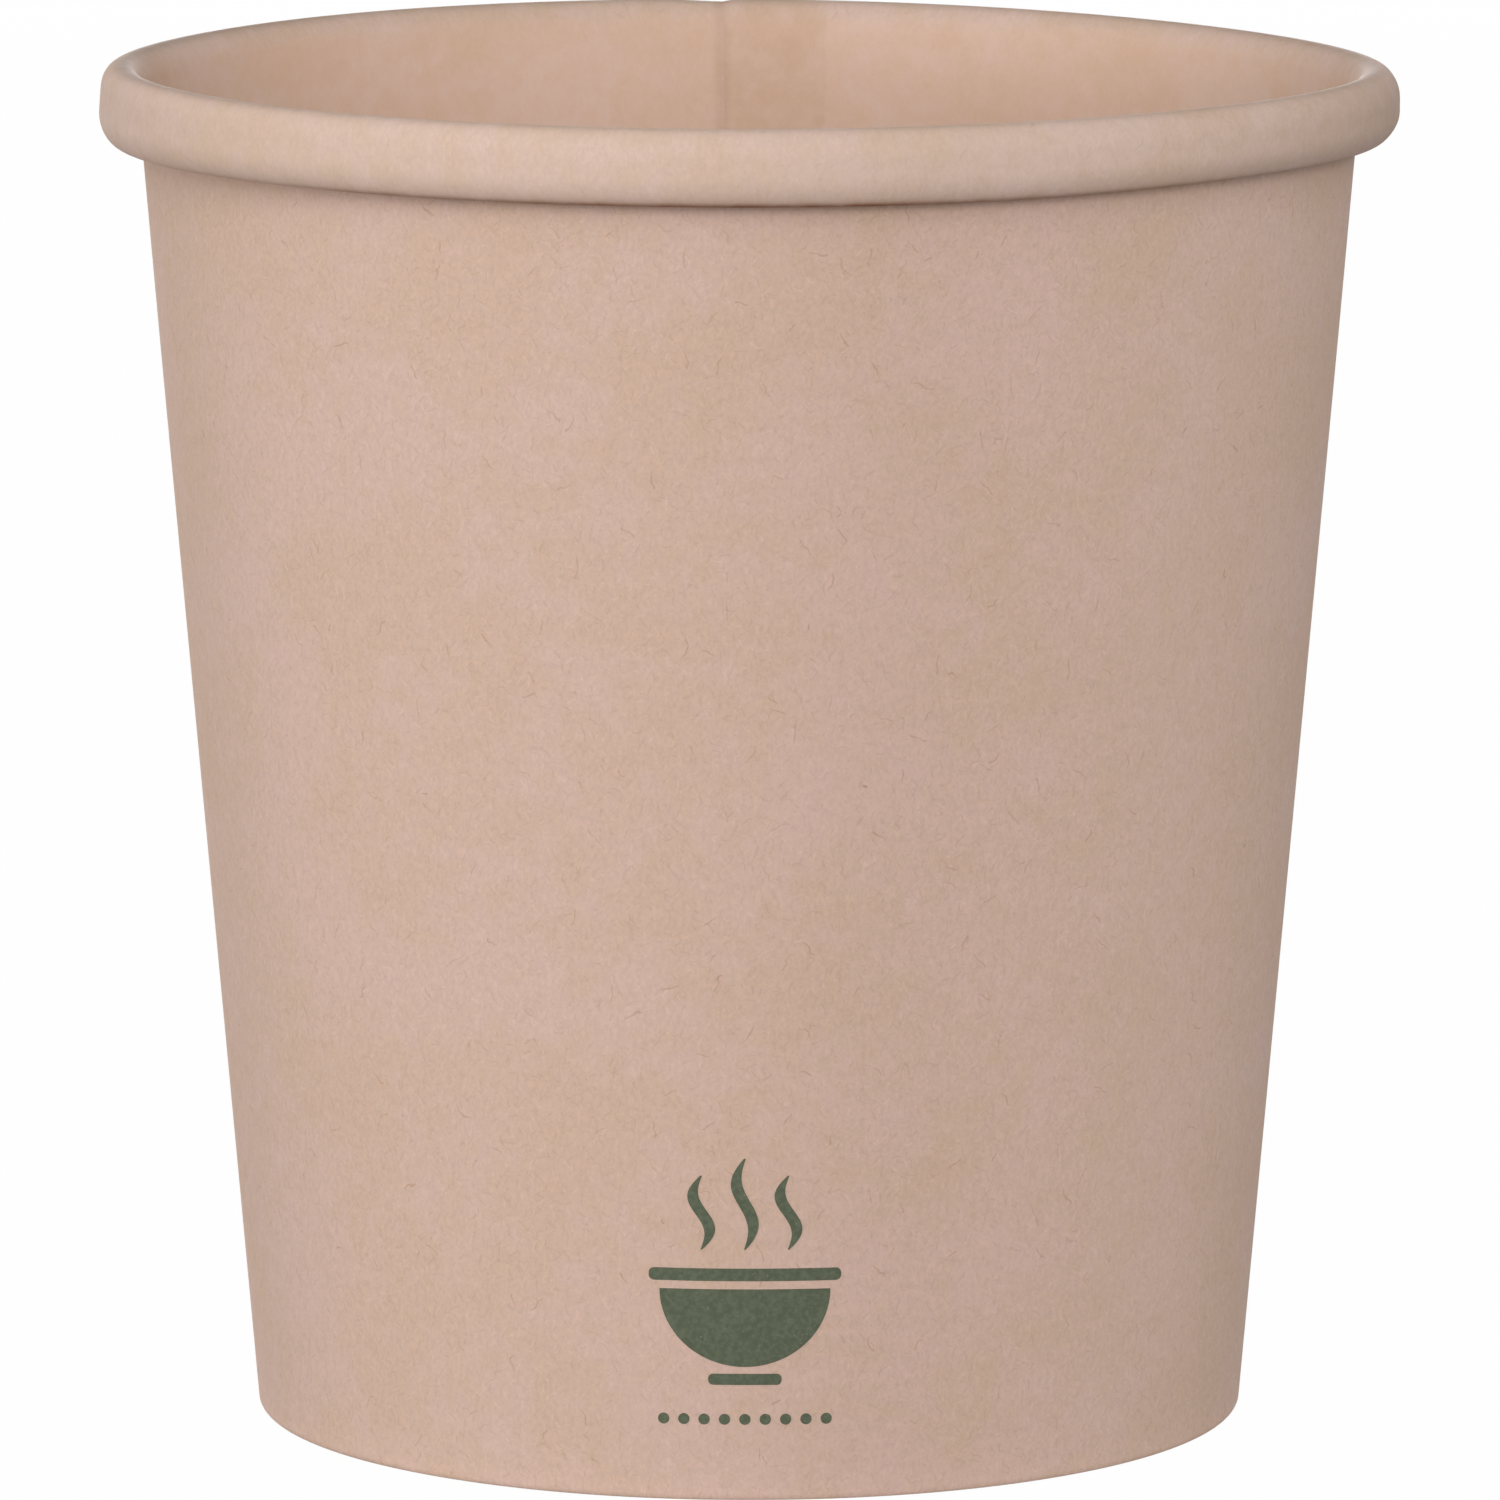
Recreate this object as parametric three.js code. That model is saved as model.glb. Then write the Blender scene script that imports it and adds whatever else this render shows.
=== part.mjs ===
// Paper soup cup: two board blanks, each with the film that lines its food side.
// The side wall is one fan-shaped blank wrapped to a cone. Its ends lap at the back, its lower edge turns in
// and up to a hem, and its upper edge rolls outwards to a rim. The base is one disc whose edge turns down to a
// skirt, and the skirt is held between the wall and the hem.
// Millimetres, +Z up. The origin is on the table, at the middle of the foot. The side seam is at the back, +Y.

import * as THREE from "three";

// Overall sizes
const rimDiameter = 98; // outside of the rolled rim
const cupHeight = 102.7; // table to the top of the rim
const baseDiameter = 74.7; // outside of the wall at the table

// Board, film and the clearance between bonded faces
const boardThickness = 0.45;
const discThickness = 0.4;
const filmThickness = 0.05;
const bondGap = 0.06;

// Rolled rim
const rimOverhang = 3.27; // outside of the rim past the wall just under it
const rimHeight = 5.6; // top of the roll to its underside
const rimCrown = 2.25; // top of the roll to its widest point
const rimLowerRadius = 2.2; // outside corner under the widest point
const tailLength = 1; // straight end of the board, tucked up inside the roll

// Lapped side seam
const seamLap = 8.3; // width of the lap
const seamAngle = THREE.MathUtils.degToRad(92.9); // inner cut edge, just left of the back
const seamRamp = 3.5; // run over which the outer end climbs on to the inner one
const seamButt = 0.3; // slit left between the two ends where the lap is notched away
const seamLift = 2; // height over which the outer end leaves the foot

// Foot, hem and base disc
const recessDepth = 8; // table to the underside of the base disc
const hemGap = 1.2; // cut edge of the hem to the underside of the disc
const footBend = 0.15; // inside radius of the fold at the foot
const discBend = 0.6; // inside radius of the disc's turned-down edge
const skirtGap = 0.2; // cut edge of the skirt above the fold

// Fineness of the facets
const bodySteps = 60; // round the cup, once
const rampSteps = 3;
const lapSteps = 2;
const bendSteps = 2; // in each small bend
const crownSteps = 6; // over the top of the roll

// Derived sizes. A blank is laid out along the middle of its board: the bare face is half a board away on one
// side, and the film's free face is a little further away on the other.
const bareHalf = boardThickness / 2;
const filmNear = bareHalf + bondGap;
const filmFar = filmNear + filmThickness;
const discBareHalf = discThickness / 2;
const discFilmNear = discBareHalf + bondGap;
const discFilmFar = discFilmNear + filmThickness;
const lapPitch = bareHalf + bondGap + filmFar;

const wallTopRadius = rimDiameter / 2 - rimOverhang;
const wallSlope = (wallTopRadius - baseDiameter / 2) / (cupHeight - rimHeight);
const wallCosine = 1 / Math.hypot(1, wallSlope);
const wallDirection = new THREE.Vector2(wallSlope, 1).normalize();

// A line parallel to the wall, the given distance inwards from the middle of the wall's board.
function wallLine(inwards, height) {
  const middle = baseDiameter / 2 - bareHalf / wallCosine;
  return new THREE.Vector2(middle - inwards / wallCosine + wallSlope * height, height);
}

const skirtInwards = filmFar + bondGap + discFilmFar;
const hemInwards = skirtInwards + discBareHalf + bondGap + filmFar;
const tailInwards = -(bareHalf + bondGap + filmFar);

// Samples along the middle of a board, each with the direction of the bare face.
function bare(tangent) {
  return new THREE.Vector2(tangent.y, -tangent.x);
}

function sampleLine(from, to) {
  const normal = bare(to.clone().sub(from).normalize());
  return [from, to].map((point) => ({ point, normal }));
}

function sampleArc(curve, steps) {
  return Array.from({ length: steps + 1 }, (_, i) => ({
    point: curve.getPoint(i / steps),
    normal: bare(curve.getTangent(i / steps)),
  }));
}

// The rounded corner of a bent board, from the line before the corner to the line after it.
function sampleBend(before, corner, after, radius, steps) {
  const inward = corner.clone().sub(before).normalize();
  const outward = after.clone().sub(corner).normalize();
  const turn = Math.atan2(inward.cross(outward), inward.dot(outward));
  const side = Math.sign(turn);
  const start = corner.clone().addScaledVector(inward, -radius * Math.tan(Math.abs(turn) / 2));
  const centre = start.clone().addScaledVector(new THREE.Vector2(-inward.y, inward.x), side * radius);
  const startAngle = Math.atan2(start.y - centre.y, start.x - centre.x);
  const arc = new THREE.EllipseCurve(
    centre.x, centre.y, radius, radius, startAngle, startAngle + turn, turn < 0,
  );
  return sampleArc(arc, steps);
}

// Where a line parallel to the wall reaches a height.
const hemFoot = wallLine(hemInwards, bareHalf);
const wallFoot = wallLine(0, bareHalf);

// The fold at the foot: from the hem's cut edge down, across and up on to the wall.
function footSamples() {
  const hemEdge = wallLine(hemInwards, recessDepth - hemGap);
  const radius = footBend + filmFar;
  const wallAbove = wallLine(0, recessDepth);
  const inner = sampleBend(hemEdge, hemFoot, wallFoot, radius, bendSteps);
  const outer = sampleBend(hemFoot, wallFoot, wallAbove, radius, bendSteps);
  return [sampleLine(hemEdge, inner[0].point)[0], ...inner, ...outer];
}

// The rolled rim: over the crown, down the flank, under, and up inside the roll beside the wall.
const crownHeight = cupHeight - rimCrown;
const flankRadius = rimDiameter / 2 - filmFar;
const crownRise = rimCrown - filmFar;

// The crown is the half ellipse that touches the wall's line and the flank.
function crownSamples() {
  const reach = flankRadius - wallLine(0, crownHeight).x;
  const halfWidth = (reach ** 2 - (wallSlope * crownRise) ** 2) / (2 * reach);
  const leave = Math.atan2(wallSlope * crownRise, halfWidth);
  const crown = new THREE.EllipseCurve(
    flankRadius - halfWidth, crownHeight, halfWidth, crownRise, Math.PI - leave, 0, true,
  );
  return sampleArc(crown, crownSteps);
}

function tuckSamples() {
  const underside = cupHeight - rimHeight + filmFar;
  const crownEnd = new THREE.Vector2(flankRadius, crownHeight);
  const lowerCorner = new THREE.Vector2(flankRadius, underside);
  const tailCorner = wallLine(tailInwards, underside);
  const tailRadius = lapPitch + bareHalf + bondGap;
  const tailAbove = tailCorner.clone().addScaledVector(wallDirection, rimHeight);
  const tailTangent = tailRadius * Math.tan((Math.PI / 2 + Math.atan(wallSlope)) / 2);
  const room = Math.min(lowerCorner.x - tailCorner.x - tailTangent, crownHeight - underside);
  const lowerRadius = Math.min(rimLowerRadius - filmFar, room);
  const lower = sampleBend(crownEnd, lowerCorner, tailCorner, lowerRadius, bendSteps + 1);
  const tail = sampleBend(lowerCorner, tailCorner, tailAbove, tailRadius, bendSteps + 1);
  const tailEnd = tail[tail.length - 1].point.clone().addScaledVector(wallDirection, tailLength);
  return [...lower, ...tail, sampleLine(tail[tail.length - 1].point, tailEnd)[1]];
}

// Side wall blank, sample by sample from the hem's edge to the end of the roll. Where lap is true the inner end
// runs under the outer one, and elsewhere the lap is notched away. Where lift is 1 the outer end stands clear.
function sideWallSamples() {
  const foot = footSamples();
  const wallStart = foot[foot.length - 1];
  const lapFoot = wallStart.point.clone().addScaledVector(wallDirection, seamLift);
  const mark = (samples, lap, lift) => samples.map((sample) => ({ ...sample, lap, lift }));
  return [
    ...mark(foot, false, 0),
    { point: lapFoot, normal: wallStart.normal, lap: true, lift: 1 },
    ...mark(crownSamples(), true, 1),
    ...mark(tuckSamples(), false, 1),
  ];
}

// Columns of the wrapped blank from its inner end to its outer one: the turn round the cup, and the share of the lift
// that carries the outer end over the inner one.
function wrapColumns() {
  const lapTurn = seamLap / wallTopRadius;
  const bodyStart = lapTurn + seamButt / wallTopRadius;
  const bodyEnd = 2 * Math.PI - seamRamp / wallTopRadius;
  const spread = (from, to, steps) => Array.from({ length: steps }, (_, i) => from + ((to - from) * i) / steps);
  const flat = (turn) => ({ turn, lift: 0 });
  const climb = (turn) => ({ turn, lift: THREE.MathUtils.smoothstep(turn, bodyEnd, 2 * Math.PI) });
  return [
    ...spread(0, bodyStart, lapSteps).map(flat),
    ...spread(bodyStart, bodyEnd, bodySteps).map(flat),
    ...spread(bodyEnd, 2 * Math.PI, rampSteps).map(climb),
    ...spread(2 * Math.PI, 2 * Math.PI + lapTurn, lapSteps).map(climb),
    climb(2 * Math.PI + lapTurn),
  ];
}

// A layer of the wrapped blank as one closed solid, between two distances from the middle of its board. The blank is
// a sheet of cells, one between each two samples and columns. A cell has a face on either side of the sheet, and an
// edge face wherever it has no neighbour.
function wrappedLayer(samples, bareSide, filmSide) {
  const columns = wrapColumns();
  const positions = [];
  for (const { turn, lift } of columns) {
    for (const sample of samples) {
      for (const side of [bareSide, filmSide]) {
        const offset = side + lift * sample.lift * lapPitch;
        const place = sample.point.clone().addScaledVector(sample.normal, offset);
        const angle = seamAngle - turn;
        positions.push(place.x * Math.cos(angle), place.x * Math.sin(angle), place.y);
      }
    }
  }
  const bareAt = (column, row) => 2 * (column * samples.length + row);
  const filmAt = (column, row) => bareAt(column, row) + 1;
  const isCell = (column, row) =>
    column >= 0 && column + 1 < columns.length && row >= 0 && row + 1 < samples.length &&
    (column >= lapSteps || (samples[row].lap && samples[row + 1].lap));
  const indices = [];
  const quad = (a, b, c, d) => indices.push(a, b, c, a, c, d);
  const edge = (c1, r1, c2, r2) => quad(bareAt(c1, r1), filmAt(c1, r1), filmAt(c2, r2), bareAt(c2, r2));
  for (let c = 0; c + 1 < columns.length; c++) {
    for (let r = 0; r + 1 < samples.length; r++) {
      if (!isCell(c, r)) continue;
      quad(bareAt(c, r), bareAt(c, r + 1), bareAt(c + 1, r + 1), bareAt(c + 1, r));
      quad(filmAt(c, r), filmAt(c + 1, r), filmAt(c + 1, r + 1), filmAt(c, r + 1));
      if (!isCell(c - 1, r)) edge(c, r, c, r + 1);
      if (!isCell(c + 1, r)) edge(c + 1, r + 1, c + 1, r);
      if (!isCell(c, r - 1)) edge(c + 1, r, c, r);
      if (!isCell(c, r + 1)) edge(c, r + 1, c + 1, r + 1);
    }
  }
  const geometry = new THREE.BufferGeometry();
  geometry.setAttribute("position", new THREE.Float32BufferAttribute(positions, 3));
  geometry.setIndex(indices);
  return geometry;
}

// Base disc blank, from the middle out over the turned-down edge to the skirt's cut edge. Its film side is the top.
function discSamples() {
  const level = recessDepth + discBareHalf;
  const centre = new THREE.Vector2(0, level);
  const edge = wallLine(skirtInwards, level);
  const skirtEnd = wallLine(skirtInwards, bareHalf + filmFar + skirtGap);
  const bend = sampleBend(centre, edge, skirtEnd, discBend + discBareHalf, bendSteps + 1);
  const flat = sampleLine(centre, bend[0].point);
  const skirt = sampleLine(bend[bend.length - 1].point, skirtEnd);
  return [flat[0], ...bend, skirt[1]];
}

// A layer of the disc as one closed solid of revolution. The bare face is the underside.
function turnedLayer(samples, bareSide, filmSide) {
  const face = (list, offset) => list.map(({ point, normal }) => point.clone().addScaledVector(normal, offset));
  const profile = [...face(samples, bareSide), ...face(samples.toReversed(), filmSide)];
  return new THREE.LatheGeometry(profile, bodySteps).rotateX(Math.PI / 2);
}

const cup = new THREE.Group();

function addPiece(name, geometry, color, roughness) {
  const mesh = new THREE.Mesh(geometry, new THREE.MeshStandardMaterial({ color, roughness, metalness: 0 }));
  mesh.name = name;
  cup.add(mesh);
}

const sideWall = sideWallSamples();
const disc = discSamples();
addPiece("side_wall", wrappedLayer(sideWall, bareHalf, -bareHalf), 0xcbb09f, 0.82);
addPiece("side_wall_lining", wrappedLayer(sideWall, -filmNear, -filmFar), 0xcfae97, 0.45);
addPiece("base_disc", turnedLayer(disc, discBareHalf, -discBareHalf), 0xc6aa97, 0.84);
addPiece("base_lining", turnedLayer(disc, -discFilmNear, -discFilmFar), 0xcfae97, 0.45);

export default cup;
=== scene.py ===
import math
import bmesh
import bpy
from mathutils import Matrix, Vector


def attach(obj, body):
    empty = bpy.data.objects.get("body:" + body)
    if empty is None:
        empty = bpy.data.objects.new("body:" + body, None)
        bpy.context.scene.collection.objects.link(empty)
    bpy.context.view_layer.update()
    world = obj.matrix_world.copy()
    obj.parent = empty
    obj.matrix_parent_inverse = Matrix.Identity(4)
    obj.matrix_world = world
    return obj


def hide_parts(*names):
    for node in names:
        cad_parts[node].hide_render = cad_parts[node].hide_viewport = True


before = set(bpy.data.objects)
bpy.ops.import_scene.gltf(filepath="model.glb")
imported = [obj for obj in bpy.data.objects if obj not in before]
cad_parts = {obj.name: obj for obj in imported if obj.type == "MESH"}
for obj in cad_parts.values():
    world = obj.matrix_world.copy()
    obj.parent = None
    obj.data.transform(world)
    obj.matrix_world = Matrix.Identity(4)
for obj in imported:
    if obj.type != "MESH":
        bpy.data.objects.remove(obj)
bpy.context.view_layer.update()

mm = 0.001
print("soup cup: frame loaded,", len(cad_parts), "nodes")


class Value:  # a socket that can be used in sums
    def __init__(self, graph, socket):
        self.graph = graph
        self.socket = socket

    def calc(self, operation, *others):
        sockets = {i: v for i, v in enumerate((self, *others))}
        return self.graph.add("ShaderNodeMath", {"operation": operation}, sockets)

    def flipped(self, operation, other):
        return self.graph.add("ShaderNodeMath", {"operation": operation}, {0: other, 1: self})

    def __add__(self, other):
        return self.calc("ADD", other)

    def __radd__(self, other):
        return self.flipped("ADD", other)

    def __sub__(self, other):
        return self.calc("SUBTRACT", other)

    def __rsub__(self, other):
        return self.flipped("SUBTRACT", other)

    def __mul__(self, other):
        return self.calc("MULTIPLY", other)

    def __rmul__(self, other):
        return self.flipped("MULTIPLY", other)

    def __truediv__(self, other):
        return self.calc("DIVIDE", other)

    def __abs__(self):
        return self.calc("ABSOLUTE")

    def out(self, name):  # another output of the same node
        return Value(self.graph, self.socket.node.outputs[name])


class Graph:
    def __init__(self, tree):
        self.tree = tree
        tree.nodes.clear()

    def add(self, kind, settings, sockets, output=None):
        node = self.tree.nodes.new(kind)
        for key, value in settings.items():
            setattr(node, key, value)
        for key, value in sockets.items():
            if isinstance(value, Value):
                self.tree.links.new(value.socket, node.inputs[key])
            else:
                node.inputs[key].default_value = value
        shown = [s for s in node.outputs if s.enabled]
        if output is not None:
            return Value(self, node.outputs[output])
        return Value(self, shown[0]) if shown else None

    def mixColor(self, factor, first, second):
        return self.add("ShaderNodeMix", {"data_type": "RGBA"}, {0: factor, 6: first, 7: second}, 2)

    def noise(self, place, scale, detail=2.0, roughness=0.5):
        sockets = {"Vector": place, "Scale": scale, "Detail": detail, "Roughness": roughness}
        return self.add("ShaderNodeTexNoise", {}, sockets, "Fac")

    def step(self, value, low, high):  # 0 below low, 1 above high, smooth between
        settings = {"interpolation_type": "SMOOTHSTEP"}
        return self.add("ShaderNodeMapRange", settings, {0: value, 1: low, 2: high, 3: 0.0, 4: 1.0})


def newMaterial(name):
    material = bpy.data.materials.new(name)
    material.use_nodes = True
    return material, Graph(material.node_tree)


def srgb(red, green, blue):  # screen colour, 0 to 255, as a shader colour
    def linear(c):
        c = c / 255
        return c / 12.92 if c <= 0.04045 else ((c + 0.055) / 1.055) ** 2.4
    return (linear(red), linear(green), linear(blue), 1.0)


fibreShape = {"shortest": 0.2, "longer": 0.3, "core": 0.25, "taper": 0.7}  # shares of a fibre's length and width


# one fibre in each cell of a scattered grid, turned and bent at random
def fibreMask(g, place, kind):
    size = kind["cell"]
    spot = g.add("ShaderNodeVectorMath", {"operation": "MULTIPLY_ADD"},
                 {0: place, 1: (1 / size, 1 / size, 0), 2: (kind["shift"], kind["shift"] * 1.7, 0)})
    cell = g.add("ShaderNodeTexVoronoi", {"voronoi_dimensions": "2D", "feature": "F1"},
                 {"Vector": spot, "Scale": 1.0, "Randomness": 1.0}, "Position")
    chance = g.add("ShaderNodeSeparateColor", {}, {0: cell.out("Color")})
    away = g.add("ShaderNodeVectorMath", {"operation": "SUBTRACT"}, {0: spot, 1: cell})
    local = g.add("ShaderNodeSeparateXYZ", {}, {0: away})
    x, y = local.out("X") * size, local.out("Y") * size
    turn = math.pi / 2 + (chance.out("Red") - 0.5) * kind["spread"]
    cosine, sine = turn.calc("COSINE"), turn.calc("SINE")
    along = x * cosine + y * sine
    bend = (chance.out("Green") - 0.5) * kind["curl"]
    across = y * cosine - x * sine - along * along * bend
    half = kind["length"] * (fibreShape["shortest"] + fibreShape["longer"] * chance.out("Blue"))
    thin = 1 - g.step(abs(across), kind["width"] * fibreShape["core"], kind["width"])
    ends = 1 - g.step(abs(along) / half, fibreShape["taper"], 1.0)
    weight = (chance.out("Blue") * 7.31 + chance.out("Red") * 3.7).calc("FRACT")
    return thin * ends * g.step(weight, 1 - kind["share"], 1.0)


fibreKinds = {  # millimetres on the flat blank, spread in radians about the upright
    "wisp": {"cell": 0.75, "length": 1.1, "width": 0.075, "curl": 1.1, "share": 1.0, "spread": 2.6, "shift": 41.9},
    "pale": {"cell": 0.85, "length": 1.0, "width": 0.08, "curl": 1.1, "share": 0.9, "spread": 2.6, "shift": 57.3},
    "faint": {"cell": 1.3, "length": 1.9, "width": 0.085, "curl": 0.9, "share": 0.9, "spread": 2.9, "shift": 3.1},
    "plain": {"cell": 2.7, "length": 1.8, "width": 0.08, "curl": 0.6, "share": 0.75, "spread": 2.5, "shift": 11.7},
    "dark": {"cell": 12.0, "length": 1.0, "width": 0.11, "curl": 0.5, "share": 0.5, "spread": 3.1, "shift": 27.3},
}


boardNoise = {  # scale in turns per millimetre, detail, roughness
    "cloud": (0.08, 3.0, 0.55), "patch": (0.5, 4.0, 0.6),
    "felt": (1.1, 3.0, 0.6), "grain": (2.7, 3.0, 0.62), "tooth": (6.5, 2.0, 0.5)}
boardTone = {"cloud": 0.55, "patch": 0.45, "range": (0.36, 0.64)}
boardKink = {"scale": 1.0, "reach": 0.9}  # fibres stray by this many millimetres
boardShade = {"felt": 0.55, "tooth": 0.6}  # beside the grain, in the colour
boardHeight = {"grain": 0.6, "tooth": 0.4, "plain": 0.35, "faint": 0.15}  # in the bump
boardRough = {"grain": 0.12, "patch": 0.06}
boardDepth = 0.03  # height of the bump, millimetres


# unbleached board: clouds, patches and fine grain in the colour, fibres on top, a soft tooth in the bump; on the
# lining, painted light inside and painted shade from its attributes
def boardFinish(name, look):
    material, g = newMaterial(name)
    blank = g.add("ShaderNodeUVMap", {"uv_map": "blank"}, {})
    place = g.add("ShaderNodeVectorMath", {"operation": "SCALE"}, {0: blank, "Scale": 1 / mm})
    cloud, patch = (g.noise(place, *boardNoise[kind]) for kind in ("cloud", "patch"))
    tall = g.add("ShaderNodeVectorMath", {"operation": "MULTIPLY"}, {0: place, 1: (1.0, look["tall"], 1.0)})
    felt, grain, tooth = (g.noise(tall, *boardNoise[kind]) for kind in ("felt", "grain", "tooth"))
    tone = g.step(cloud * boardTone["cloud"] + patch * boardTone["patch"], *boardTone["range"])
    color = g.mixColor(tone, look["pink"], look["tan"])
    calm = 1.0
    if look["inside"]:  # the film lies on a smoother face below the roll; its lighter, warmer colour there is painted light, as if lit through the wall
        below = g.add("ShaderNodeAttribute", {"attribute_name": "insideLightAndSmooth"}, {}, "Fac")
        color = g.mixColor(below, color, g.mixColor(tone, look["inside"][0], look["inside"][1]))
        calm = 1 - look["calm"] * below
    speckle = (grain - 0.5) + boardShade["felt"] * (felt - 0.5) + boardShade["tooth"] * (tooth - 0.5)
    shade = 1 + look["grain"] * calm * speckle
    color = g.add("ShaderNodeVectorMath", {"operation": "SCALE"}, {0: color, "Scale": shade})
    stray = g.add("ShaderNodeTexNoise", {}, {"Vector": place, "Scale": boardKink["scale"], "Detail": 1.0}, "Color")
    reach = (boardKink["reach"], boardKink["reach"], 0)
    kinked = g.add("ShaderNodeVectorMath", {"operation": "MULTIPLY_ADD"}, {0: stray, 1: reach, 2: place})
    fibres = {kind: fibreMask(g, kinked, spec) for kind, spec in fibreKinds.items()}
    for kind, mask in fibres.items():
        color = g.mixColor(mask * look["fibre"][kind] * calm, color, look["fibreColor"][kind])
    # painted shade: each one mixes the colour towards its darker colour where its attribute lies
    for mark, (share, patchy, tint) in look["paintedShades"].items():
        amount = g.add("ShaderNodeAttribute", {"attribute_name": mark}, {}, "Fac")
        color = g.mixColor(amount * share * (1 + patchy * (tone - 0.5)), color, tint)
    height = grain * boardHeight["grain"] + tooth * boardHeight["tooth"]
    for kind in ("plain", "faint"):
        height = height + fibres[kind] * boardHeight[kind]
    height = height * calm
    normal = g.add("ShaderNodeBump", {}, {"Strength": look["bump"], "Distance": boardDepth * mm, "Height": height})
    rough = look["rough"] + boardRough["grain"] * (grain - 0.5) + boardRough["patch"] * (patch - 0.5)
    board = g.add("ShaderNodeBsdfPrincipled", {}, {
        "Base Color": color, "Roughness": rough, "Normal": normal, "IOR": look["ior"],
        "Diffuse Roughness": look["matt"], "Specular IOR Level": look["gloss"]})
    g.add("ShaderNodeOutputMaterial", {}, {"Surface": board})
    return material


outerLook = {
    "pink": srgb(215, 187, 174), "tan": srgb(211, 183, 163), "grain": 0.265, "tall": 0.7, "bump": 0.6,
    "fibre": {"wisp": 0.22, "pale": 0.24, "faint": 0.19, "plain": 0.36, "dark": 0.45},
    "fibreColor": {"wisp": srgb(172, 140, 118), "pale": srgb(232, 212, 200), "faint": srgb(184, 146, 116),
                   "plain": srgb(172, 124, 92), "dark": srgb(138, 96, 72)},
    "rough": 0.7, "matt": 0.6, "gloss": 0.08, "ior": 1.47, "inside": None, "paintedShades": {}}
innerLook = {  # a painted shade has its share, how much the board's patches change it, and its colour; each darkens the lining where its attribute lies
    **outerLook, "pink": srgb(217, 191, 178), "tan": srgb(212, 185, 165), "matt": 0.2,
    # the inside pair is painted light: lighter, warmer colours for the lining below the roll, as if lit through the
    # wall
    "inside": (srgb(227, 198, 181), srgb(223, 191, 167)), "grain": 0.2, "tall": 0.6, "bump": 0.35,
    "fibre": {"wisp": 0.08, "pale": 0.1, "faint": 0.08, "plain": 0.14, "dark": 0.25},
    "rough": 0.6, "gloss": 0.02, "calm": 0.65,
    "paintedShades": {"lapShade": (0.22, 1.0, srgb(202, 168, 140)), "grooveShade": (0.28, 0.5, srgb(186, 150, 126)),
              "tuckShade": (0.9, 0.6, srgb(150, 100, 70)), "crownShade": (0.58, 0.2, srgb(140, 118, 106))}}
edgeLook = {**outerLook, "pink": srgb(222, 196, 178), "tan": srgb(214, 186, 164), "grain": 0.5, "bump": 0.9}

outerBoard = boardFinish("tanBoardBare", outerLook)
linedBoard = boardFinish("tanBoardLined", innerLook)
cutBoard = boardFinish("tanBoardCutEdge", edgeLook)
print("soup cup: board finishes made")


# draws a section in the XZ plane as lines and bends, the way a strip is folded; a bend to the right is positive
def drawSection(bm, start, heading, moves):
    point = bm.verts.new((start[0] * mm, 0, start[1] * mm))
    for kind, *sizes in moves:
        ahead = Vector((math.cos(heading), 0, math.sin(heading)))
        if kind == "line":
            length, steps = sizes
            for _ in range(steps):
                point = bmesh.ops.extrude_vert_indiv(bm, verts=[point])["verts"][0]
                bmesh.ops.translate(bm, verts=[point], vec=ahead * (length * mm / steps))
        else:
            radius, degrees, steps = sizes
            turn = math.radians(degrees)
            right = Vector((ahead.z, 0, -ahead.x))
            centre = point.co + right * math.copysign(radius * mm, turn)
            made = bmesh.ops.spin(bm, geom=[point], cent=centre, axis=(0, 1, 0), dvec=(0, 0, 0),
                                  angle=turn, steps=steps, use_merge=False)
            point = made["geom_last"][0]
            heading -= turn
    bm.verts.ensure_lookup_table()
    return list(bm.verts)


# length along the section and direction of the bare face at each of its points
def measureSection(points):
    lengths, faces = [0.0], []
    for before, after in zip(points, points[1:]):
        lengths.append(lengths[-1] + (after.co - before.co).length)
    for i in range(len(points)):
        along = points[min(i + 1, len(points) - 1)].co - points[max(i - 1, 0)].co
        along.normalize()
        faces.append(Vector((along.z, 0, -along.x)))
    return lengths, faces


smoothAngle = math.radians(38)  # sharper edges stay sharp


def finishPiece(bm, name, nodes, materials):
    bm.normal_update()
    for edge in bm.edges:
        edge.smooth = edge.calc_face_angle(0.0) < smoothAngle
    for face in bm.faces:
        face.smooth = True
    mesh = bpy.data.meshes.new(name)
    bm.to_mesh(mesh)
    bm.free()
    piece = bpy.data.objects.new(name, mesh)
    bpy.context.scene.collection.objects.link(piece)
    for material in materials:
        mesh.materials.append(material)
    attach(piece, "root")
    if nodes:
        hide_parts(*nodes)
    print("soup cup:", name, len(mesh.polygons), "faces")


# gives an open sheet its thickness away from the bare face, and its cut edges the second material
def thicken(bm, thickness):
    bm.normal_update()
    sheet = set(bm.verts)
    bmesh.ops.solidify(bm, geom=bm.faces[:], thickness=thickness * mm)
    for face in bm.faces:
        sides = {vert in sheet for vert in face.verts}
        face.material_index = 1 if len(sides) == 2 else 0
    return sheet


# side wall blank, along the middle of its board: hem, foot, wall, rolled rim and the tail tucked into the roll
wallLean = 4.932  # degrees from upright
wallFoot = 37.124  # radius of the middle of the board, carried down to the table
wallSection = {
    "start": (36.406, 6.8), "heading": math.radians(-90 - wallLean),
    "moves": [
        ("line", 6.0706, 4), ("bend", 0.485, -90 - wallLean, 8), ("line", 0.3311, 1),
        ("bend", 0.485, -90 + wallLean, 8), ("line", 1.8, 3), ("line", 98.551, 28),
        ("bend", 2.3, 37.27, 7), ("bend", 1.127, 95.6, 16), ("bend", 2.3, 42.2, 8),
        ("line", 0.975, 2), ("bend", 2.4, 45.4, 7), ("bend", 1.15, 44.6, 7),
        ("bend", 0.905, 94.93, 9), ("line", 1.0, 2)]}
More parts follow.
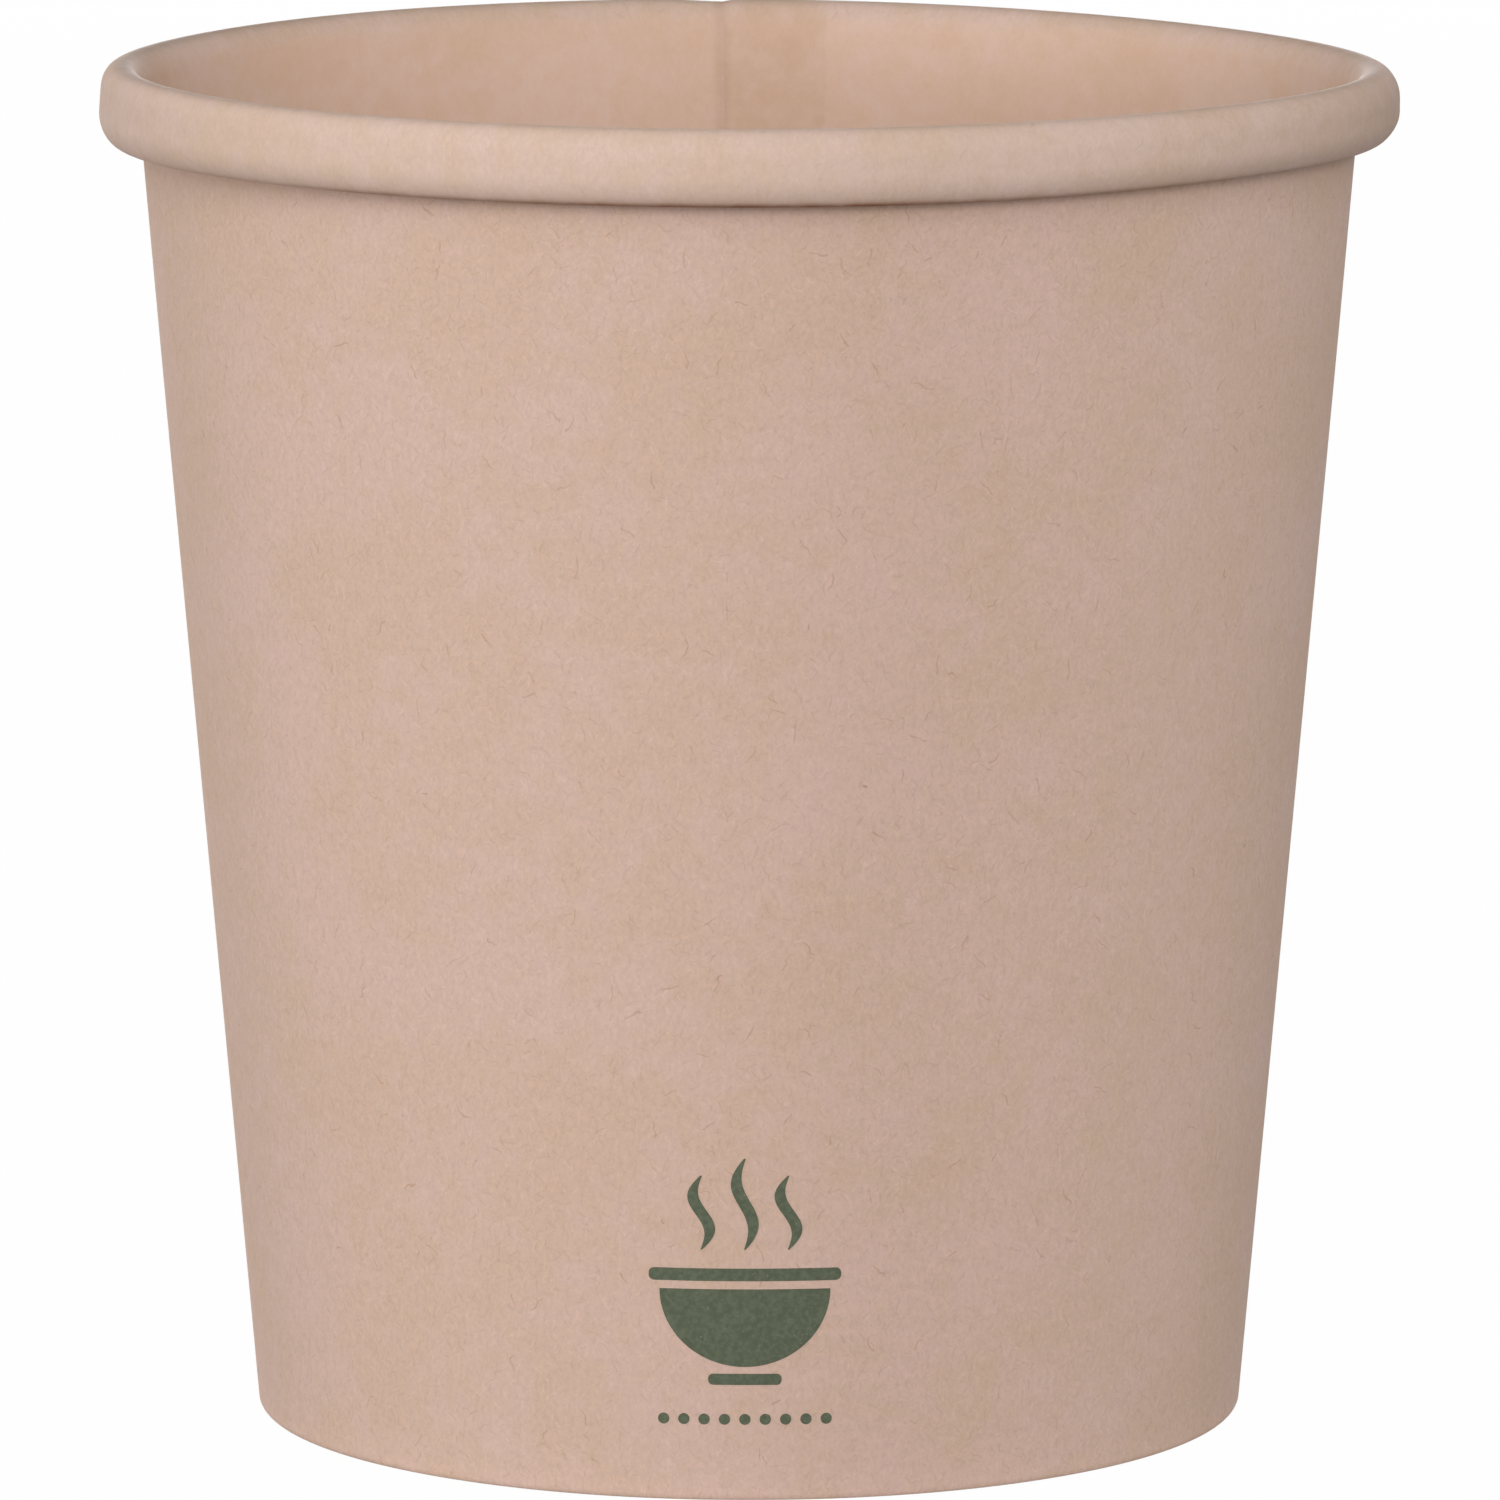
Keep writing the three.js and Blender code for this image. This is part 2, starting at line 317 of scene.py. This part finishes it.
seam = {  # rows are points of the section, counted from the hem's edge
    "angle": math.radians(92.33),  # cut edge inside, just left of the back
    "lap": math.radians(9.85), "butt": math.radians(0.37),
    # the outer end dives under the cut edge over these turns, on the wall and on the crown
    "groove": math.radians(1.5), "crownGroove": math.radians(6.0),
    "press": math.radians(4.2),  # the cut edge is pressed thin over this turn
    "pitch": 0.62, "edgePitch": 0.14,  # how far the outer end stands off, in the lap and at the cut edge
    "thinned": 0.43,  # what is pressed off the board at the cut edge
    "boardBack": math.radians(0.2),  # the board's cut edge is set back
    "filmOver": math.radians(0.12), "filmDown": 0.085, "filmThin": 0.045,  # the film laps over it, melted thin
    "buttFill": math.radians(0.3),  # closes the butt of the notched ends
    "lapRows": (24, 92),  # between these the ends lap
    "footRows": (21, 24), "endRows": (92.5, 96),  # the outer end rises and comes back
    "crownRows": (50, 58), "fadeRows": (84, 92),  # the groove widens, and the lap is pressed thin
    "tailRows": (96, 107),  # the outer end's tail stands off again, clear of the lapped wall
    "bodySteps": 228, "lapSteps": 5, "pressSteps": 6, "grooveSteps": 5, "fanRadius": 434.6}
turnSlack = 1e-4  # radians
layers = {"bareHalf": 0.225, "filmNear": 0.285, "filmFar": 0.335}  # millimetres from the middle of the board
roll = {  # unevenness of the rolled rim, millimetres; its right end is lower and shorter, its left end leans
    "rimRows": (46, 52), "tuckRows": (83, 92), "drop": 0.015, "wave": 0.03, "draw": 0.03, "pull": 0.05,
    "waves": ((2, 0.6), (3, 2.1)), "pulls": ((2, 2.4), (5, 0.9)),  # ripples round the rim: count, phase
    "drops": ((-90, 0.15, 2), (30, 0.6, 3), (160, 0.2, 10)),  # low places: degrees, depth, power of the cosine
    "tuckDrop": 0.22, "tuckLeft": 0.26,
    "tuckRise": 0.32, "tuckRiseAt": math.radians(-38), "tuckRiseSpan": math.radians(24),
    "lean": 0.2, "leanRow": 82, "leanSpan": 4.2, "seamDip": 0.06, "seamSpan": math.radians(7)}
wallShades = {  # where the film's painted light and painted shade lie
    "insideRows": (50, 60), "tuckRows": (90, 97), "tuckPower": 4, "crownRow": 65.5, "crownSpan": 5.0,
    "crownAll": 0.4, "crownLeft": 0.6, "crownRight": 0.35, "crownPower": 4,
    "grooveEdge": 1.5, "grooveRight": math.radians(0.6)}


def ease(share):
    share = min(max(share, 0), 1)
    return share * share * (3 - 2 * share)


def climb(row, rows):  # 0 up to the first of the rows, 1 from the second
    return ease((row - rows[0]) / (rows[1] - rows[0]))


def ripple(angle, waves):  # 0 to 1 round the rim
    return 0.5 + 0.25 * sum(math.sin(count * angle + phase) for count, phase in waves)


def rollShift(row, angle):  # inward and downward, millimetres
    left = max(-math.cos(angle), 0)
    rim, tuck = climb(row, roll["rimRows"]), climb(row, roll["tuckRows"])
    crownDrop = roll["drop"] + roll["wave"] * ripple(angle, roll["waves"])
    for degrees, depth, power in roll["drops"]:
        crownDrop += depth * max(math.cos(angle - math.radians(degrees)), 0) ** power
    fromRise = math.remainder(angle - roll["tuckRiseAt"], 2 * math.pi) / roll["tuckRiseSpan"]
    tuckDrop = roll["tuckDrop"] + roll["tuckLeft"] * left ** 8 - roll["tuckRise"] * math.exp(-fromRise ** 2)
    inward = roll["draw"] + roll["pull"] * ripple(angle, roll["pulls"])
    inward += roll["lean"] * left ** 2 * math.exp(-((row - roll["leanRow"]) / roll["leanSpan"]) ** 2)
    return rim * inward, rim * (crownDrop + (tuckDrop - crownDrop) * tuck)


def wrapTurns():
    full = 2 * math.pi
    stops = [(0, seam["pressSteps"]), (seam["press"], seam["lapSteps"]), (seam["lap"], 1),
             (seam["lap"] + seam["butt"], seam["bodySteps"]), (full - seam["groove"], seam["grooveSteps"]),
             (full, seam["pressSteps"]), (full + seam["press"], seam["lapSteps"]), (full + seam["lap"], 0)]
    turns = []
    for (low, steps), (high, _) in zip(stops, stops[1:]):
        turns += [low + (high - low) * i / steps for i in range(steps)]
    return turns + [stops[-1][0]]


def fullBoard(row):  # 1 where the lap has its full thickness, 0 at its end in the roll
    return 1 - climb(row, seam["fadeRows"])


def outerLift(turn, row):  # millimetres off the single wall
    over = turn - 2 * math.pi
    groove = seam["groove"] + (seam["crownGroove"] - seam["groove"]) * climb(row, seam["crownRows"])
    tail = climb(row, seam["tailRows"])
    lapped = climb(row, seam["footRows"]) * (1 - climb(row, seam["endRows"])) + tail
    full = ease(over / seam["press"]) * max(fullBoard(row), tail)
    return lapped * (seam["edgePitch"] * ease(1 + over / groove) + (seam["pitch"] - seam["edgePitch"]) * full)


def wrapBlank(name, node, bareSide, thickness, materials):
    bm = bmesh.new()
    rowLayer = bm.verts.layers.int.new("row")
    turnLayer = bm.verts.layers.float.new("turn")
    lapLayer = bm.verts.layers.float.new("lapShade")
    insideLayer = bm.verts.layers.float.new("insideLightAndSmooth")
    grooveLayer = bm.verts.layers.float.new("grooveShade")
    tuckLayer = bm.verts.layers.float.new("tuckShade")
    crownLayer = bm.verts.layers.float.new("crownShade")
    uvLayer = bm.loops.layers.uv.new("blank")
    chain = drawSection(bm, wallSection["start"], wallSection["heading"], wallSection["moves"])
    lengths, faces = measureSection(chain)
    for row, point in enumerate(chain):
        point[rowLayer] = row
        bmesh.ops.translate(bm, verts=[point], vec=faces[row] * (bareSide * mm))
    bmesh.ops.rotate(bm, verts=chain, cent=(0, 0, 0), matrix=Matrix.Rotation(seam["angle"], 3, "Z"))
    turns = wrapTurns()
    edge = bm.verts[:] + bm.edges[:]
    for turnBefore, turn in zip(turns, turns[1:]):
        made = bmesh.ops.spin(bm, geom=edge, cent=(0, 0, 0), axis=(0, 0, 1), dvec=(0, 0, 0),
                              angle=turnBefore - turn, steps=1, use_merge=False)
        edge = made["geom_last"]
        for vert in edge:
            if isinstance(vert, bmesh.types.BMVert):
                vert[turnLayer] = turn
    lapLow, lapHigh = seam["lapRows"]
    notched = [face for face in bm.faces
               if max(vert[turnLayer] for vert in face.verts) < seam["lap"] + seam["butt"] + turnSlack
               and not (min(vert[rowLayer] for vert in face.verts) >= lapLow
                        and max(vert[rowLayer] for vert in face.verts) <= lapHigh)]
    bmesh.ops.delete(bm, geom=notched, context="FACES")

    def bareWay(vert):
        angle, face = seam["angle"] - vert[turnLayer], faces[vert[rowLayer]]
        return Vector((math.cos(angle) * face.x, math.sin(angle) * face.x, face.z))

    for vert in bm.verts:
        row, turn = vert[rowLayer], vert[turnLayer]
        angle = seam["angle"] - turn
        fromEdge = abs(turn - 2 * math.pi) if turn > math.pi else turn
        seamDip = roll["seamDip"] * climb(row, roll["rimRows"]) * (1 - ease(fromEdge / roll["seamSpan"]))
        vert.co += bareWay(vert) * ((outerLift(turn, row) + seamDip) * mm)
        inward, drop = rollShift(row, angle)
        vert.co -= Vector((math.cos(angle) * inward, math.sin(angle) * inward, drop)) * mm
        left, right, front = max(-math.cos(angle), 0), max(math.cos(angle), 0), max(-math.sin(angle), 0)
        # painted shade along the top of the rim, stronger at its left and right ends, where it darkens the lit inner
        # side of the crown
        crown = (wallShades["crownAll"] + wallShades["crownLeft"] * left ** wallShades["crownPower"]
                 + wallShades["crownRight"] * right ** wallShades["crownPower"])
        vert[crownLayer] = crown * math.exp(-((row - wallShades["crownRow"]) / wallShades["crownSpan"]) ** 2)
        # painted light: the lining below the roll is painted lighter and warmer, as if lit through the wall; the same
        # mask calms its grain
        vert[insideLayer] = 1 - climb(row, wallShades["insideRows"])
        # painted shade: the lining is painted darker where the ends lap, for less light shining through the double
        # wall
        vert[lapLayer] = 1.0 if turn < seam["lap"] + turnSlack and row > lapLow else 0.0
        # painted shade under the rolled rim, in the crevice against the wall, strongest at the front and none at the
        # sides
        vert[tuckLayer] = climb(row, wallShades["tuckRows"]) * front ** wallShades["tuckPower"]
        # painted shade in the seam's groove: darker just left of the cut edge, fading just right of it
        over = turn - 2 * math.pi
        outerShade = ease(wallShades["grooveEdge"] * (1 + over / seam["groove"])) * (1 - ease(over / seam["press"]))
        vert[grooveLayer] = outerShade if turn > math.pi else 1 - ease(turn / wallShades["grooveRight"])
    for face in bm.faces:
        for loop in face.loops:
            fan = seam["fanRadius"] * mm + lengths[loop.vert[rowLayer]]
            spread = (math.pi - loop.vert[turnLayer]) * math.sin(math.radians(wallLean))
            loop[uvLayer].uv = (fan * math.sin(spread), fan * math.cos(spread))
    bm.normal_update()
    middles = ((face, face.calc_center_median()) for face in bm.faces)
    front = next(face for face, middle in middles if middle.y < -0.03 and 0.03 < middle.z < 0.05)
    if front.normal.y > 0:  # the sheet's bare face points outwards
        bmesh.ops.reverse_faces(bm, faces=bm.faces[:])
    bareVerts = thicken(bm, thickness)
    sheet = {(vert[rowLayer], round(vert[turnLayer], 5)): vert.co.copy() for vert in bareVerts}
    for vert in bm.verts:  # the far face straight behind the bare one, so that film and board keep their distance
        if vert not in bareVerts:
            vert.co = sheet[vert[rowLayer], round(vert[turnLayer], 5)] - bareWay(vert) * (thickness * mm)
    for vert in bm.verts:
        if vert[turnLayer] < turnSlack:
            back = seam["boardBack"] if bareSide > 0 else -seam["filmOver"]
            bmesh.ops.rotate(bm, verts=[vert], cent=(0, 0, 0), matrix=Matrix.Rotation(-back, 3, "Z"))
            if bareSide < 0:
                down = seam["filmDown"] + (0 if vert in bareVerts else seam["filmThin"])
                vert.co += bareWay(vert) * (down * mm)
        elif vert[turnLayer] > 2 * math.pi + seam["lap"] - turnSlack and not lapLow <= vert[rowLayer] <= lapHigh:
            bmesh.ops.rotate(bm, verts=[vert], cent=(0, 0, 0), matrix=Matrix.Rotation(-seam["buttFill"], 3, "Z"))
    if bareSide > 0:  # the board's own bare face at the cut edge, under the outer end
        for vert in bareVerts:
            full = ease(vert[turnLayer] / seam["press"])
            if vert[turnLayer] < seam["lap"] + turnSlack:
                full *= fullBoard(vert[rowLayer])
            thin = seam["thinned"] * (1 - full)
            vert.co -= bareWay(vert) * (thin * mm)
    finishPiece(bm, name, [node], materials)


wrapBlank("wallBoard", "side_wall", layers["bareHalf"], 2 * layers["bareHalf"],
          [outerBoard, cutBoard])
wrapBlank("wallLining", "side_wall_lining", -layers["filmNear"],
          layers["filmFar"] - layers["filmNear"], [linedBoard, linedBoard])

# base disc, along the middle of its board: flat, turned-down edge and skirt
discSection = {
    "start": (0.0, 8.2), "heading": 0.0,
    "moves": [("line", 36.23, 24), ("bend", 0.8, 90 + wallLean, 8), ("line", 6.5, 6)],
    "bareHalf": 0.2, "filmNear": 0.26, "filmFar": 0.31, "steps": 192}


def turnDisc(name, node, bareSide, thickness, materials):
    bm = bmesh.new()
    rowLayer = bm.verts.layers.int.new("row")
    insideLayer = bm.verts.layers.float.new("insideLightAndSmooth")
    uvLayer = bm.loops.layers.uv.new("blank")
    chain = drawSection(bm, discSection["start"], discSection["heading"], discSection["moves"])
    lengths, faces = measureSection(chain)
    for row, point in enumerate(chain):
        # the base lining takes the same painted light and calmer grain as the inside of the wall
        point[rowLayer], point[insideLayer] = row, 1.0
        side = faces[row] if row else Vector((0, 0, -1))
        bmesh.ops.translate(bm, verts=[point], vec=side * (bareSide * mm))
    bmesh.ops.spin(bm, geom=bm.verts[:] + bm.edges[:], cent=(0, 0, 0), axis=(0, 0, 1), dvec=(0, 0, 0),
                   angle=2 * math.pi, steps=discSection["steps"], use_merge=True)
    bmesh.ops.remove_doubles(bm, verts=bm.verts[:], dist=1e-6)
    bmesh.ops.recalc_face_normals(bm, faces=bm.faces[:])
    middle = min(bm.faces, key=lambda f: f.calc_center_median().xy.length)
    if middle.normal.z > 0:
        bmesh.ops.reverse_faces(bm, faces=bm.faces[:])
    for face in bm.faces:
        for loop in face.loops:
            out = loop.vert.co.xy.normalized() if loop.vert.co.xy.length > 1e-7 else Vector((0, 0))
            loop[uvLayer].uv = out * lengths[loop.vert[rowLayer]]
    thicken(bm, thickness)
    finishPiece(bm, name, [node], materials)


turnDisc("baseBoard", "base_disc", discSection["bareHalf"], 2 * discSection["bareHalf"],
         [outerBoard, cutBoard])
turnDisc("baseLining", "base_lining", -discSection["filmNear"],
         discSection["filmFar"] - discSection["filmNear"], [linedBoard, linedBoard])

# small printed sign low on the front: a bowl with steam over a row of dots, drawn flat and laid on the wall
signShape = {  # millimetres, heights from the table
    "centre": -0.3, "edgeWidth": 14.2, "edgeDepth": 0.95, "edgeHeight": 17.3,
    "bowlWidth": 12.6, "bowlDepth": 5.9, "bowlTop": 16.2, "footWidth": 5.4, "footDepth": 0.85, "footHeight": 9.35,
    "steamPlaces": ((-3.2, 5.6), (0.0, 6.9), (3.2, 5.6)), "steamFrom": 19.2, "steamWidth": 1.0, "steamSway": 0.62,
    "steamSteps": 22, "steamTip": 0.06,
    "dotCount": 9, "dotPitch": 1.5, "dotRadius": 0.42, "dotHeight": 6.3,
    "strip": 0.5, "stand": 0.028, "thickness": 0.018}


def signBar(bm, width, depth, height):
    bar = bmesh.ops.create_grid(bm, x_segments=1, y_segments=1, size=0.5)["verts"]
    bmesh.ops.scale(bm, verts=bar, vec=(width, depth, 1))
    bmesh.ops.translate(bm, verts=bar, vec=(0, height, 0))
    bmesh.ops.bevel(bm, geom=bar, offset=depth * 0.42, segments=5, profile=0.5, affect="VERTICES", material=-1)


def signSteam(bm, across, tall):
    steps, tip = signShape["steamSteps"], signShape["steamTip"]
    ends = [bm.verts.new((across + side, signShape["steamFrom"], 0)) for side in (-tip, tip)]
    edge = bm.edges.new(ends)
    for i in range(1, steps + 1):
        share = i / steps
        middle = across + signShape["steamSway"] * math.sin(share * 2 * math.pi)
        half = 0.5 * signShape["steamWidth"] * math.sin(math.pi * (0.02 + 0.96 * share)) ** 0.75
        made = bmesh.ops.extrude_edge_only(bm, edges=[edge])["geom"]
        edge = next(part for part in made if isinstance(part, bmesh.types.BMEdge))
        left, right = sorted(edge.verts, key=lambda vert: vert.co.x)
        left.co.x, right.co.x = middle - half, middle + half
        left.co.y = right.co.y = signShape["steamFrom"] + tall * share


def laySign(material):
    bm = bmesh.new()
    bowl = bmesh.ops.create_circle(bm, cap_ends=True, segments=96, radius=signShape["bowlWidth"] / 2)["verts"]
    bmesh.ops.scale(bm, verts=bowl, vec=(1, 2 * signShape["bowlDepth"] / signShape["bowlWidth"], 1))
    bmesh.ops.bisect_plane(bm, geom=bm.verts[:] + bm.edges[:] + bm.faces[:], dist=1e-5, plane_co=(0, 0, 0),
                           plane_no=(0, 1, 0), clear_outer=True)
    bmesh.ops.translate(bm, verts=bm.verts[:], vec=(0, signShape["bowlTop"], 0))
    signBar(bm, signShape["edgeWidth"], signShape["edgeDepth"], signShape["edgeHeight"])
    signBar(bm, signShape["footWidth"], signShape["footDepth"], signShape["footHeight"])
    for i in range(signShape["dotCount"]):
        dot = bmesh.ops.create_circle(bm, cap_ends=True, segments=20, radius=signShape["dotRadius"])["verts"]
        across = (i - (signShape["dotCount"] - 1) / 2) * signShape["dotPitch"]
        bmesh.ops.translate(bm, verts=dot, vec=(across, signShape["dotHeight"], 0))
    half = signShape["edgeWidth"] / 2
    for i in range(1, int(2 * half / signShape["strip"]) + 1):  # narrow strips, so that it bends with the wall
        bmesh.ops.bisect_plane(bm, geom=bm.verts[:] + bm.edges[:] + bm.faces[:], dist=1e-5,
                               plane_co=(i * signShape["strip"] - half, 0, 0), plane_no=(1, 0, 0))
    for across, tall in signShape["steamPlaces"]:
        signSteam(bm, across, tall)
    slope = math.tan(math.radians(wallLean))
    bareFace = layers["bareHalf"] / math.cos(math.radians(wallLean))
    for vert in bm.verts:
        across, height, _ = vert.co
        radius = wallFoot + slope * height + bareFace + signShape["stand"]
        angle = (signShape["centre"] + across) / radius - math.pi / 2
        vert.co = Vector((radius * math.cos(angle), radius * math.sin(angle), height)) * mm
    bm.normal_update()
    inward = [face for face in bm.faces if face.normal.y > 0]
    bmesh.ops.reverse_faces(bm, faces=inward)
    bm.normal_update()
    bmesh.ops.solidify(bm, geom=bm.faces[:], thickness=signShape["thickness"] * mm)
    finishPiece(bm, "frontSign", [], [material])


inkLook = {
    "deep": srgb(77, 84, 65), "thin": srgb(95, 102, 82), "bare": srgb(190, 172, 148), "bareShare": 0.5,
    "flow": (2.4, 4.0, 0.65), "flowRange": (0.35, 0.68), "pin": (5.5, 2.0, 0.6), "pinRange": (0.66, 0.78),
    "rough": 0.68, "roughChange": 0.15, "bump": 0.5, "gloss": 0.35}
inkMaterial, g = newMaterial("greenInk")
inkPlace = g.add("ShaderNodeVectorMath", {"operation": "SCALE"},
                 {0: g.add("ShaderNodeTexCoord", {}, {}, "Object"), "Scale": 1 / mm})
inkFlow = g.noise(inkPlace, *inkLook["flow"])
inkPin = g.noise(inkPlace, *inkLook["pin"])
inkColor = g.mixColor(g.step(inkFlow, *inkLook["flowRange"]), inkLook["deep"], inkLook["thin"])
inkBare = inkLook["bareShare"] * g.step(inkPin, *inkLook["pinRange"])
inkColor = g.mixColor(inkBare, inkColor, inkLook["bare"])
inkNormal = g.add("ShaderNodeBump", {}, {
    "Strength": inkLook["bump"], "Distance": boardDepth * mm, "Height": inkFlow})
ink = g.add("ShaderNodeBsdfPrincipled", {}, {
    "Base Color": inkColor, "Roughness": inkLook["rough"] + inkLook["roughChange"] * (inkFlow - 0.5),
    "Normal": inkNormal, "Specular IOR Level": inkLook["gloss"]})
g.add("ShaderNodeOutputMaterial", {}, {"Surface": ink})
laySign(inkMaterial)

# pale floor: white to the camera, grey enough for the light that it throws back, and it keeps a faint shadow
stageLook = {
    "floorSize": 6.0, "floorHeight": -0.0002, "floorColor": (0.3, 0.3, 0.3, 1.0),
    "footColor": (0.65, 0.63, 0.6, 1.0), "footReach": (38.2, 40.0),  # paler round the foot, millimetres from the axis
    "whiteShare": 0.99, "ambient": 0.26}


def seenDirectly(g):  # 1 for what the camera sees, also in a reflection or through glass
    ray = g.add("ShaderNodeLightPath", {}, {}, "Is Camera Ray")
    return ray.calc("MAXIMUM", ray.out("Is Glossy Ray")).calc("MAXIMUM", ray.out("Is Transmission Ray"))


floorMaterial, g = newMaterial("paleFloor")
floorPlace = g.add("ShaderNodeTexCoord", {}, {}, "Object")
away = g.add("ShaderNodeVectorMath", {"operation": "LENGTH"}, {0: floorPlace}, "Value")
farOff = g.step(away / mm, *stageLook["footReach"])
near = g.add("ShaderNodeBsdfDiffuse", {}, {"Color": stageLook["footColor"]})
plain = g.add("ShaderNodeMixShader", {}, {
    0: farOff, 1: near, 2: g.add("ShaderNodeBsdfDiffuse", {}, {"Color": stageLook["floorColor"]})})
white = g.add("ShaderNodeEmission", {}, {"Color": (1, 1, 1, 1), "Strength": 1.0})
floorMix = g.add("ShaderNodeMixShader", {}, {0: seenDirectly(g) * stageLook["whiteShare"], 1: plain, 2: white})
g.add("ShaderNodeOutputMaterial", {}, {"Surface": floorMix})

bm = bmesh.new()
bmesh.ops.create_grid(bm, x_segments=1, y_segments=1, size=stageLook["floorSize"] / 2)
floorMesh = bpy.data.meshes.new("floor")
bm.to_mesh(floorMesh)
bm.free()
floorMesh.materials.append(floorMaterial)
floor = bpy.data.objects.new("floor", floorMesh)
floor.location = (0, 0, stageLook["floorHeight"])
bpy.context.scene.collection.objects.link(floor)

world = bpy.data.worlds.new("studio")
world.use_nodes = True
bpy.context.scene.world = world
g = Graph(world.node_tree)
soft = g.add("ShaderNodeBackground", {}, {"Color": (1, 1, 1, 1), "Strength": stageLook["ambient"]})
bright = g.add("ShaderNodeBackground", {}, {"Color": (1, 1, 1, 1), "Strength": 1.0})
sky = g.add("ShaderNodeMixShader", {}, {0: seenDirectly(g), 1: soft, 2: bright})
g.add("ShaderNodeOutputWorld", {}, {"Surface": sky})

lamps = {  # place and size in metres, strength in watts
    "sideLeft": {"place": (-1.253, -0.336, 0.141), "size": 0.3, "power": 6.1},
    "frontLeft": {"place": (-0.388, -1.194, 0.386), "size": 0.5, "power": 1.6},
    "frontRight": {"place": (0.388, -1.194, 0.386), "size": 0.5, "power": 5.9},
    "front": {"place": (0.000, -1.148, 0.660), "size": 0.7, "power": 2.9},
    "topLeft": {"place": (-0.498, -0.862, 0.886), "size": 0.7, "power": 1.6},
    "rear": {"place": (0.000, 1.297, 0.141), "size": 0.3, "power": 4.5},
}
lampTarget = Vector((0, 0, 0.05))
for name, lamp in lamps.items():
    light = bpy.data.lights.new(name, "AREA")
    light.shape = "SQUARE"
    light.size = lamp["size"]
    light.energy = lamp["power"]
    holder = bpy.data.objects.new(name, light)
    holder.location = lamp["place"]
    holder.rotation_euler = (lampTarget - Vector(lamp["place"])).to_track_quat("-Z", "Y").to_euler()
    bpy.context.scene.collection.objects.link(holder)

shot = {"place": (0.0, -0.9596, 0.20146), "target": (0.00008, 0.0, 0.0501), "lens": 307.4, "sensor": 36}
camera = bpy.data.cameras.new("camera")
camera.lens = shot["lens"]
camera.sensor_width = shot["sensor"]
cameraHolder = bpy.data.objects.new("camera", camera)
cameraHolder.location = shot["place"]
cameraHolder.rotation_euler = (Vector(shot["target"]) - Vector(shot["place"])).to_track_quat("-Z", "Y").to_euler()
bpy.context.scene.collection.objects.link(cameraHolder)
bpy.context.scene.camera = cameraHolder
bpy.context.scene.view_settings.view_transform = "Standard"
print("soup cup: stage, lamps and camera set")
